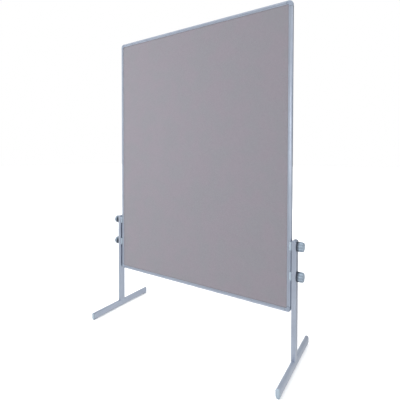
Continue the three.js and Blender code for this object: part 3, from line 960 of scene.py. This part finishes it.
for side in SIDES:
    node = f"post_{side}"
    low, high, centre, size = measure(node)
    body = rectangular_tube(size.x, size.y, low.z, high.z)
    post = piece_from(moved(body, Matrix.Translation((centre.x, 0, 0))), f"{node}_tube")
    _, _, foot, foot_size = measure(f"foot_tube_{side}")
    cope = flat_oval(foot_size.x + 2 * CLEARANCE, foot_size.z + 2 * CLEARANCE, COPE_STEPS)
    cut(post, along_y(bar(cope, -TOOL_REACH, TOOL_REACH), foot.x, foot.z))
    for level in LEVELS:
        stud = measure(f"stud_{side}_{level}")[2]
        cut(post, along_x(round_bar(STUD_HOLE, -TOOL_REACH, TOOL_REACH), centre.x, stud.z))
    stand_for(post, node, ALUMINIUM["z"])

# %% [markdown]
# ## Post caps
# Each post is closed by a moulded cap: an arch across the width, with its rims rounded, on a plug that grips
# the inside of the tube. The arch is an outline carried from front to back, kept inside the post's own
# rounded corners, and then every rim is bevelled.

# %% Post caps
CAP_SHOULDER = 2 * MM
CAP_RIM = 0.9 * MM


def cap_arch(width, height):
    """The arch across the post's width, standing on the tube's end."""
    half = width / 2
    crown = arc((0, CAP_SHOULDER), (half, height - CAP_SHOULDER), 0, 180, 20)
    return [(-half, 0)] + [(half, 0)] + crown


for side in SIDES:
    node = f"post_cap_{side}"
    low, high, centre, size = measure(node)
    to_post = Matrix.Translation((centre.x, 0, 0))
    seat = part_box(f"post_{side}")[1].z + CLEARANCE
    arch = bar(cap_arch(size.x, high.z - seat), -size.y / 2, size.y / 2)
    cap = piece_from(along_y(arch, centre.x, seat), f"{node}_moulding")
    column = bar(rectangle(size.x, size.y, POST_CORNER, steps=8), low.z, high.z + TOOL_REACH)
    cut(cap, moved(column, to_post), "INTERSECT")
    vault = bmesh.new()
    vault.from_mesh(cap.data)
    round_edges(tidy(vault), CAP_RIM, 40)
    inset = 2 * (TUBE_WALL + CLEARANCE)
    plug_outline = rectangle(size.x - inset, size.y - inset, POST_CORNER - TUBE_WALL)
    plug = round_edges(bar(plug_outline, low.z, seat + OVERLAP), 0.4 * MM, 60)
    whole = combine(vault, moved(plug, to_post))
    whole.to_mesh(cap.data)
    whole.free()
    stand_for(cap, node, CORNER_PLASTIC)

# %% [markdown]
# ## Feet
# A foot is a flat oval tube that lies from front to back, closed by a moulded cap at each end. The caps hang
# a little below the tube and stand on flat pads, so the tube itself never scrapes the floor. Under the
# middle, a hole lets a key reach the bolt that holds the post.

# %% Feet
OVAL_STEPS = 20
FOOT_CAP_PROUD = 0.8 * MM
FOOT_CAP_LENGTH = 6 * MM
FOOT_NOSE = 4.5 * MM
NOSE_STEPS = 6
FOOT_PLUG = 18 * MM
PAD_WIDTH = 14 * MM
PAD_LENGTH = 32 * MM
PAD_HEIGHT = 5 * MM
PAD_SETBACK = 1.5 * MM
TOOL_HOLE = 7.5 * MM


def foot_tube(side):
    node = f"foot_tube_{side}"
    low, high, centre, size = measure(node)
    outside = flat_oval(size.x, size.z, OVAL_STEPS)
    inside = flat_oval(size.x - 2 * TUBE_WALL, size.z - 2 * TUBE_WALL, OVAL_STEPS)
    body = along_y(tube(outside, inside, low.y, high.y), centre.x, centre.z)
    foot = piece_from(body, f"{node}_oval")
    at_post = Matrix.Translation((centre.x, 0, 0))
    cut(foot, moved(round_bar(TOOL_HOLE, 0, centre.z), at_post))
    cut(foot, moved(round_bar(STUD_HOLE, centre.z, high.z + TOOL_REACH), at_post))
    stand_for(foot, node, ALUMINIUM["y"])


def foot_cap(side, end):
    """The end cap: a collar with a rounded nose, a plug in the tube and a pad on the floor."""
    node = f"foot_cap_{side}_{end}"
    direction = -1 if end == "front" else 1
    low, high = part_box(node)
    _, tube_high, centre, tube_size = measure(f"foot_tube_{side}")
    to_post = Matrix.Translation((centre.x, 0, 0))

    def collar_ring(inset, level):
        grow = 2 * FOOT_CAP_PROUD - 2 * inset
        return ring(flat_oval(tube_size.x + grow, tube_size.z + grow, OVAL_STEPS), level)

    rings = [collar_ring(0, 0)]
    for step in range(NOSE_STEPS + 1):
        angle = math.pi / 2 * step / NOSE_STEPS
        rise = FOOT_NOSE * math.sin(angle)
        rings.append(collar_ring(FOOT_NOSE * (1 - math.cos(angle)), FOOT_CAP_LENGTH - FOOT_NOSE + rise))
    gap = 2 * (TUBE_WALL + CLEARANCE)
    plug = bar(flat_oval(tube_size.x - gap, tube_size.z - gap, OVAL_STEPS), -FOOT_PLUG, OVERLAP)
    turn = quarter_turns(1 - direction, "Z")
    to_end = Matrix.Translation((0, tube_high.y + CLEARANCE, centre.z))
    outwards = to_post @ turn @ to_end @ quarter_turns(-1, "X")
    moulding = combine(moved(loft(rings), outwards), moved(round_edges(plug, 0.6 * MM, 60), outwards))
    pad_middle = direction * (max(abs(low.y), abs(high.y)) - PAD_LENGTH / 2 - PAD_SETBACK)
    pad = round_edges(bar(rectangle(PAD_WIDTH, PAD_LENGTH - MM, 3 * MM), 0, PAD_HEIGHT), 0.6 * MM, 60)
    pad = moved(pad, Matrix.Translation((centre.x, pad_middle, 0)))
    cap = piece_from(combine(moulding, pad), f"{node}_moulding")
    stand_for(cap, node, PALE_PLASTIC)


for side in SIDES:
    foot_tube(side)
    for end in ("front", "back"):
        foot_cap(side, end)

# %% [markdown]
# ## Clamp jaws
# Between post and frame sits a saddle with two lips that lie over the frame's edges and keep it square to
# the post. Its section is an outline seen from above. Kept inside a rounded upright shape, the lips get
# their tongue-like ends, and a bevel softens everything, because that is what catches the light.

# %% Clamp jaws
JAW_REACH = 9 * MM
JAW_LIP = 3.4 * MM
JAW_TONGUE = 7 * MM
JAW_RIM = 0.9 * MM


def jaw_section(frame_side, post_side):
    """Seen from above, with the post towards +X. The lips reach back over the frame."""
    half = FRAME_DEPTH / 2 + CLEARANCE
    outer = half + JAW_LIP
    tip = frame_side - JAW_REACH
    half_outline = [
        (frame_side, half, 0.5 * MM),
        (tip, half, 0.4 * MM),
        (tip, outer - 1.9 * MM, 1.2 * MM),
        (tip + 4 * MM, outer, 3.5 * MM),
        (post_side - 2 * MM, outer, 1.5 * MM),
        (post_side, half, 1.2 * MM),
    ]
    return filleted(half_outline + mirrored(half_outline), steps=5)


def jaw(side, level):
    node = f"jaw_{side}_{level}"
    low, high, centre, size = measure(node)
    half = size.z / 2
    frame_side = half_width + CLEARANCE
    post_side = max(abs(low.x), abs(high.x))
    section = jaw_section(frame_side, post_side)
    moulding = piece_from(bar(section, -half, half), f"{node}_moulding")
    tip, beyond = frame_side - JAW_REACH, post_side + TOOL_REACH
    tongue = [
        (tip, -half, JAW_TONGUE),
        (beyond, -half, 0),
        (beyond, half, 0),
        (tip, half, JAW_TONGUE),
    ]
    column = bar(filleted(tongue, steps=10), -TOOL_REACH, TOOL_REACH)
    cut(moulding, along_y(column, 0, 0), "INTERSECT")
    cut(moulding, along_x(round_bar(STUD_HOLE, -TOOL_REACH, TOOL_REACH), post_side, 0))
    turn = quarter_turns(1 - SIDES[side], "Z")
    settle(moulding, Matrix.Translation((0, 0, centre.z)) @ turn, JAW_RIM)
    stand_for(moulding, node, PALE_PLASTIC)


for side in SIDES:
    for level in LEVELS:
        jaw(side, level)

# %% [markdown]
# ## Knobs and collars
# A knob is turned in the mould maker's sense: a round body whose grip is cut by ten shallow flutes. That is
# a rule, so the tree below makes them: it moves each point towards the axis by a cosine of its angle, and
# only where the radius says that it is on the grip. It also marks the flutes and what lies near the collar,
# which the knob's finish paints darker as shade. The collar between knob and post is the same idea with many
# small ribs.


# %% Flute tree
# How dark the painted shade in the knobs' flutes is.
FLUTE_SHADE = 0.55


def flute_tree():
    recipe = Recipe("flutes", Flutes="Float", Depth="Float", Inner="Float", Outer="Float", ShadeReach="Float")
    position = recipe.node("GeometryNodeInputPosition")
    x, y, level = recipe.axes(position)
    angle = recipe.maths("ARCTAN2", y, x)
    wave = (1 - recipe.maths("COSINE", angle * recipe.given("Flutes"))) * 0.5
    radius = recipe.maths("SQRT", x * x + y * y)
    grip = recipe.fade(radius, recipe.given("Inner"), recipe.given("Outer"))
    flat = recipe.vector_maths("MULTIPLY", position, (-1, -1, 0))
    inwards = recipe.node("ShaderNodeVectorMath", {"operation": "NORMALIZE"}, {0: flat})
    amount = wave * grip * recipe.given("Depth")
    offset = recipe.node("ShaderNodeVectorMath", {"operation": "SCALE"}, {0: inwards, "Scale": amount})
    sockets = {"Geometry": recipe.given(), "Offset": offset}
    fluted = recipe.node("GeometryNodeSetPosition", sockets=sockets)
    # Painted shade: the flutes and the grip near the collar are marked to be darkened by the knob's finish.
    shade_reach = recipe.given("ShadeReach")
    near_collar = 1 - recipe.fade(level, shade_reach * 0.4, shade_reach)
    mark = recipe.maths("MAXIMUM", wave * grip * FLUTE_SHADE, near_collar)
    sockets = {"Geometry": fluted, "Name": "painted_knob_shade", "Value": mark}
    recipe.give_back(recipe.node("GeometryNodeStoreNamedAttribute", sockets=sockets))
    return recipe


FLUTES = flute_tree()
print("tree:", FLUTES.tree.name)

# %% Knobs and collars
KNOB_LOBES = 10
KNOB_FLUTE = 2.6 * MM
KNOB_STEPS = 120
# How far from the collar the painted shade on the knob's grip reaches.
KNOB_SHADE_REACH = 9 * MM
KNOB_BORE = 4.3 * MM
KNOB_BORE_DEPTH = 14 * MM
KNOB_RIM = 5 * MM
KNOB_TAPER = 1.2 * MM
COLLAR_RIBS = 48
COLLAR_RIB = 0.5 * MM
COLLAR_CHAMFER = 0.8 * MM


def knob_profile(radius, length):
    """Half the knob's outline, from the bore round the grip to the middle of its outer face."""
    nose = length - KNOB_RIM
    dish = radius * 0.6
    return [
        (0, KNOB_BORE_DEPTH),
        (KNOB_BORE, KNOB_BORE_DEPTH),
        (KNOB_BORE, 0),
        (radius * 0.72, 0),
        (radius - 1.6 * MM, 0.6 * MM),
        (radius, 4 * MM),
        (radius, length * 0.42),
        (radius - KNOB_TAPER * 0.6, nose - MM),
        *arc((radius - KNOB_TAPER - KNOB_RIM, nose), (KNOB_RIM, KNOB_RIM), 0, 90, 8),
        (dish, length - 0.2 * MM),
        (dish - 0.7 * MM, length - 0.9 * MM),
        (dish * 0.5, length - 0.7 * MM),
        (0, length - 0.5 * MM),
    ]


def collar_profile(radius, length):
    return [
        (STUD_HOLE, 0),
        (radius - COLLAR_CHAMFER, 0),
        (radius, COLLAR_CHAMFER),
        (radius, length - COLLAR_CHAMFER),
        (radius - COLLAR_CHAMFER, length),
        (STUD_HOLE, length),
        (STUD_HOLE, 0),
    ]


def outward_place(node, sign):
    """From a body drawn along Z to its place on the stud's axis, pointing away from the board."""
    low, high, middle, _ = measure(node)
    start = low.x if sign > 0 else high.x
    turn = quarter_turns(sign)
    return Matrix.Translation((start, middle.y, middle.z)) @ turn


def round_piece(node, sign, profile, steps, material, inner, outer, **rule):
    """A turned piece with flutes, which fade in between inner and outer, two shares of its radius."""
    size = measure(node)[3]
    radius = size.z / 2
    body = turned(profile(radius, size.x), steps)
    rule |= {"Inner": radius * inner, "Outer": radius * outer}
    piece = FLUTES.make(body, f"{node}_moulding", Finish=material, **rule)
    settle(piece, outward_place(node, sign))
    stand_for(piece, node, material, 40)


FLUTE_RULE = {"Flutes": KNOB_LOBES, "Depth": KNOB_FLUTE, "ShadeReach": KNOB_SHADE_REACH}
RIB_RULE = {"Flutes": COLLAR_RIBS, "Depth": COLLAR_RIB, "ShadeReach": MM}
for side, sign in SIDES.items():
    for level in LEVELS:
        knob = f"knob_{side}_{level}"
        round_piece(knob, sign, knob_profile, KNOB_STEPS, KNOB_PLASTIC, 0.7, 0.9, **FLUTE_RULE)
        collar = f"washer_{side}_{level}"
        round_piece(collar, sign, collar_profile, COLLAR_RIBS * 4, DARK_PLASTIC, 0.9, 0.97, **RIB_RULE)

# %% [markdown]
# ## Camera
# The viewer stands to the right of the board at about chest height and looks across it. The lens is wide,
# so the near edge is much taller than the far one. The camera's turn is built from its yaw, its small tilt
# down and its roll, and the lens shift frames the board without tilting the uprights.

# %% Camera
CAMERA_PLACE = (1.0290, -1.4800, 1.0190)
CAMERA_YAW = math.radians(32.11)
CAMERA_TILT = math.radians(1.11)
CAMERA_ROLL = math.radians(0.11)
SENSOR_WIDTH = 36
FOCAL_LENGTH = 27.99
LENS_SHIFT = (-0.0194, -0.0936)
VIEW_DISTANCE = 100


def camera_turn():
    """Across, up and back of the camera as the columns of a matrix."""
    turn = Matrix.Rotation(CAMERA_YAW, 3, "Z") @ Matrix.Rotation(math.pi / 2 - CAMERA_TILT, 3, "X")
    return turn @ Matrix.Rotation(CAMERA_ROLL, 3, "Z")


lens = bpy.data.cameras.new("camera")
lens.sensor_width = SENSOR_WIDTH
lens.lens = FOCAL_LENGTH
lens.shift_x, lens.shift_y = LENS_SHIFT
lens.clip_end = VIEW_DISTANCE
camera = bpy.data.objects.new("camera", lens)
camera.matrix_world = Matrix.Translation(CAMERA_PLACE) @ camera_turn().to_4x4()
bpy.context.scene.collection.objects.link(camera)
bpy.context.scene.camera = camera
print("camera at", [round(value, 3) for value in camera.location])

# %% [markdown]
# ## Floor and light
# The studio is plain: a pale matt floor, a far ceiling light, four softboxes and a surround that the camera
# sees as white. Aluminium shows what it reflects, so there the surround is bright at the sides, above and
# below, dimmer in front of the board and dimmest behind it. That gives the flat faces their mid grey and
# the rounded edges their light lines. Of the lamps, only the front softbox is mirrored.


# %% Floor
FLOOR_HALF = 30


def pale_floor():
    finish = Finish("pale_floor")
    screed = finish.noise(0.4, detail=4)
    base = finish.mix(screed, colour(243, 243, 244), colour(248, 248, 248))
    return finish.surface(base_color=base, roughness=0.75 + screed * 0.1, specular_ior_level=0.2)


floor_body = bmesh.new()
bmesh.ops.create_grid(floor_body, x_segments=8, y_segments=8, size=FLOOR_HALF)
floor = piece_from(floor_body, "floor")
floor.data.materials.append(pale_floor())
floor.visible_glossy = False
print("floor:", 2 * FLOOR_HALF, "m square")


# %% Lights
def lamp(name, kind, place, power):
    """A light that faces the middle of the board."""
    light = bpy.data.lights.new(name, kind)
    light.energy = power
    holder = bpy.data.objects.new(name, light)
    holder.location = place
    holder.rotation_euler = (board_centre - Vector(place)).to_track_quat("-Z", "Y").to_euler()
    bpy.context.scene.collection.objects.link(holder)
    return holder


def softbox(name, place, size, power, mirrored=True):
    """A large rectangle of light, which the camera doesn't see and shiny surfaces may or may not mirror."""
    box = lamp(name, "AREA", place, power)
    box.data.shape = "RECTANGLE"
    box.data.size, box.data.size_y = size
    box.visible_camera = False
    box.visible_glossy = mirrored


def far_light(name, place, strength, width):
    """A light so far away that it is even all over the floor; width is its spread in degrees."""
    sun = lamp(name, "SUN", place, strength)
    sun.data.angle = math.radians(width)
    sun.visible_glossy = False


far_light("ceiling", place=(-1.0, -1.4, 6.0), strength=2.6, width=100)
softbox("key_left", place=(-2.5, -2.2, 2.4), size=(1.6, 1.9), power=46, mirrored=False)
softbox("front", place=(0.9, -5.0, 1.45), size=(3.6, 1.9), power=41)
softbox("middle", place=(-0.3, -1.2, 1.25), size=(0.6, 0.6), power=3.4, mirrored=False)
softbox("rear", place=(-0.9, 4.2, 1.8), size=(2.4, 1.9), power=60, mirrored=False)
print("lights:", len(bpy.data.lights))

# %% Surround
FRONT_LEVEL = 0.45
SIDE_LIFT = 0.5
FRONT_LEFT_DROP = 0.08
TOP_LIFT = 0.4
LOW_LIFT = 0.5
REAR_DROP = 0.22

world = bpy.data.worlds.new("white_surround")
bpy.context.scene.world = world
world.use_nodes = True
surround = Graph(world.node_tree)
towards = surround.node("ShaderNodeTexCoord")
across, depth, up = surround.axes(towards)
aside = surround.fade(abs(across), 0.2, 0.8)
above = surround.fade(up, 0.3, 0.75)
below = 1 - surround.fade(up, -0.6, -0.25)
front_left = (1 - surround.fade(across, -0.8, -0.2)) * (1 - surround.fade(depth, -0.3, 0.3))
behind = surround.fade(depth, 0.5, 0.9) * (1 - aside) * (1 - above)
sideways = aside * SIDE_LIFT - front_left * FRONT_LEFT_DROP
upright = above * TOP_LIFT + below * LOW_LIFT
bright = surround.maths("MAXIMUM", sideways, upright) + FRONT_LEVEL - behind * REAR_DROP
seen = surround.node("ShaderNodeLightPath")
level = surround.maths("MAXIMUM", bright, seen)
background = surround.node("ShaderNodeBackground", sockets={"Color": (1, 1, 1, 1), "Strength": level})
surround.node("ShaderNodeOutputWorld", sockets={"Surface": background})

view = bpy.context.scene.view_settings
view.view_transform = "Standard"
view.look = "None"
view.exposure = 0.0
print("view transform:", view.view_transform)
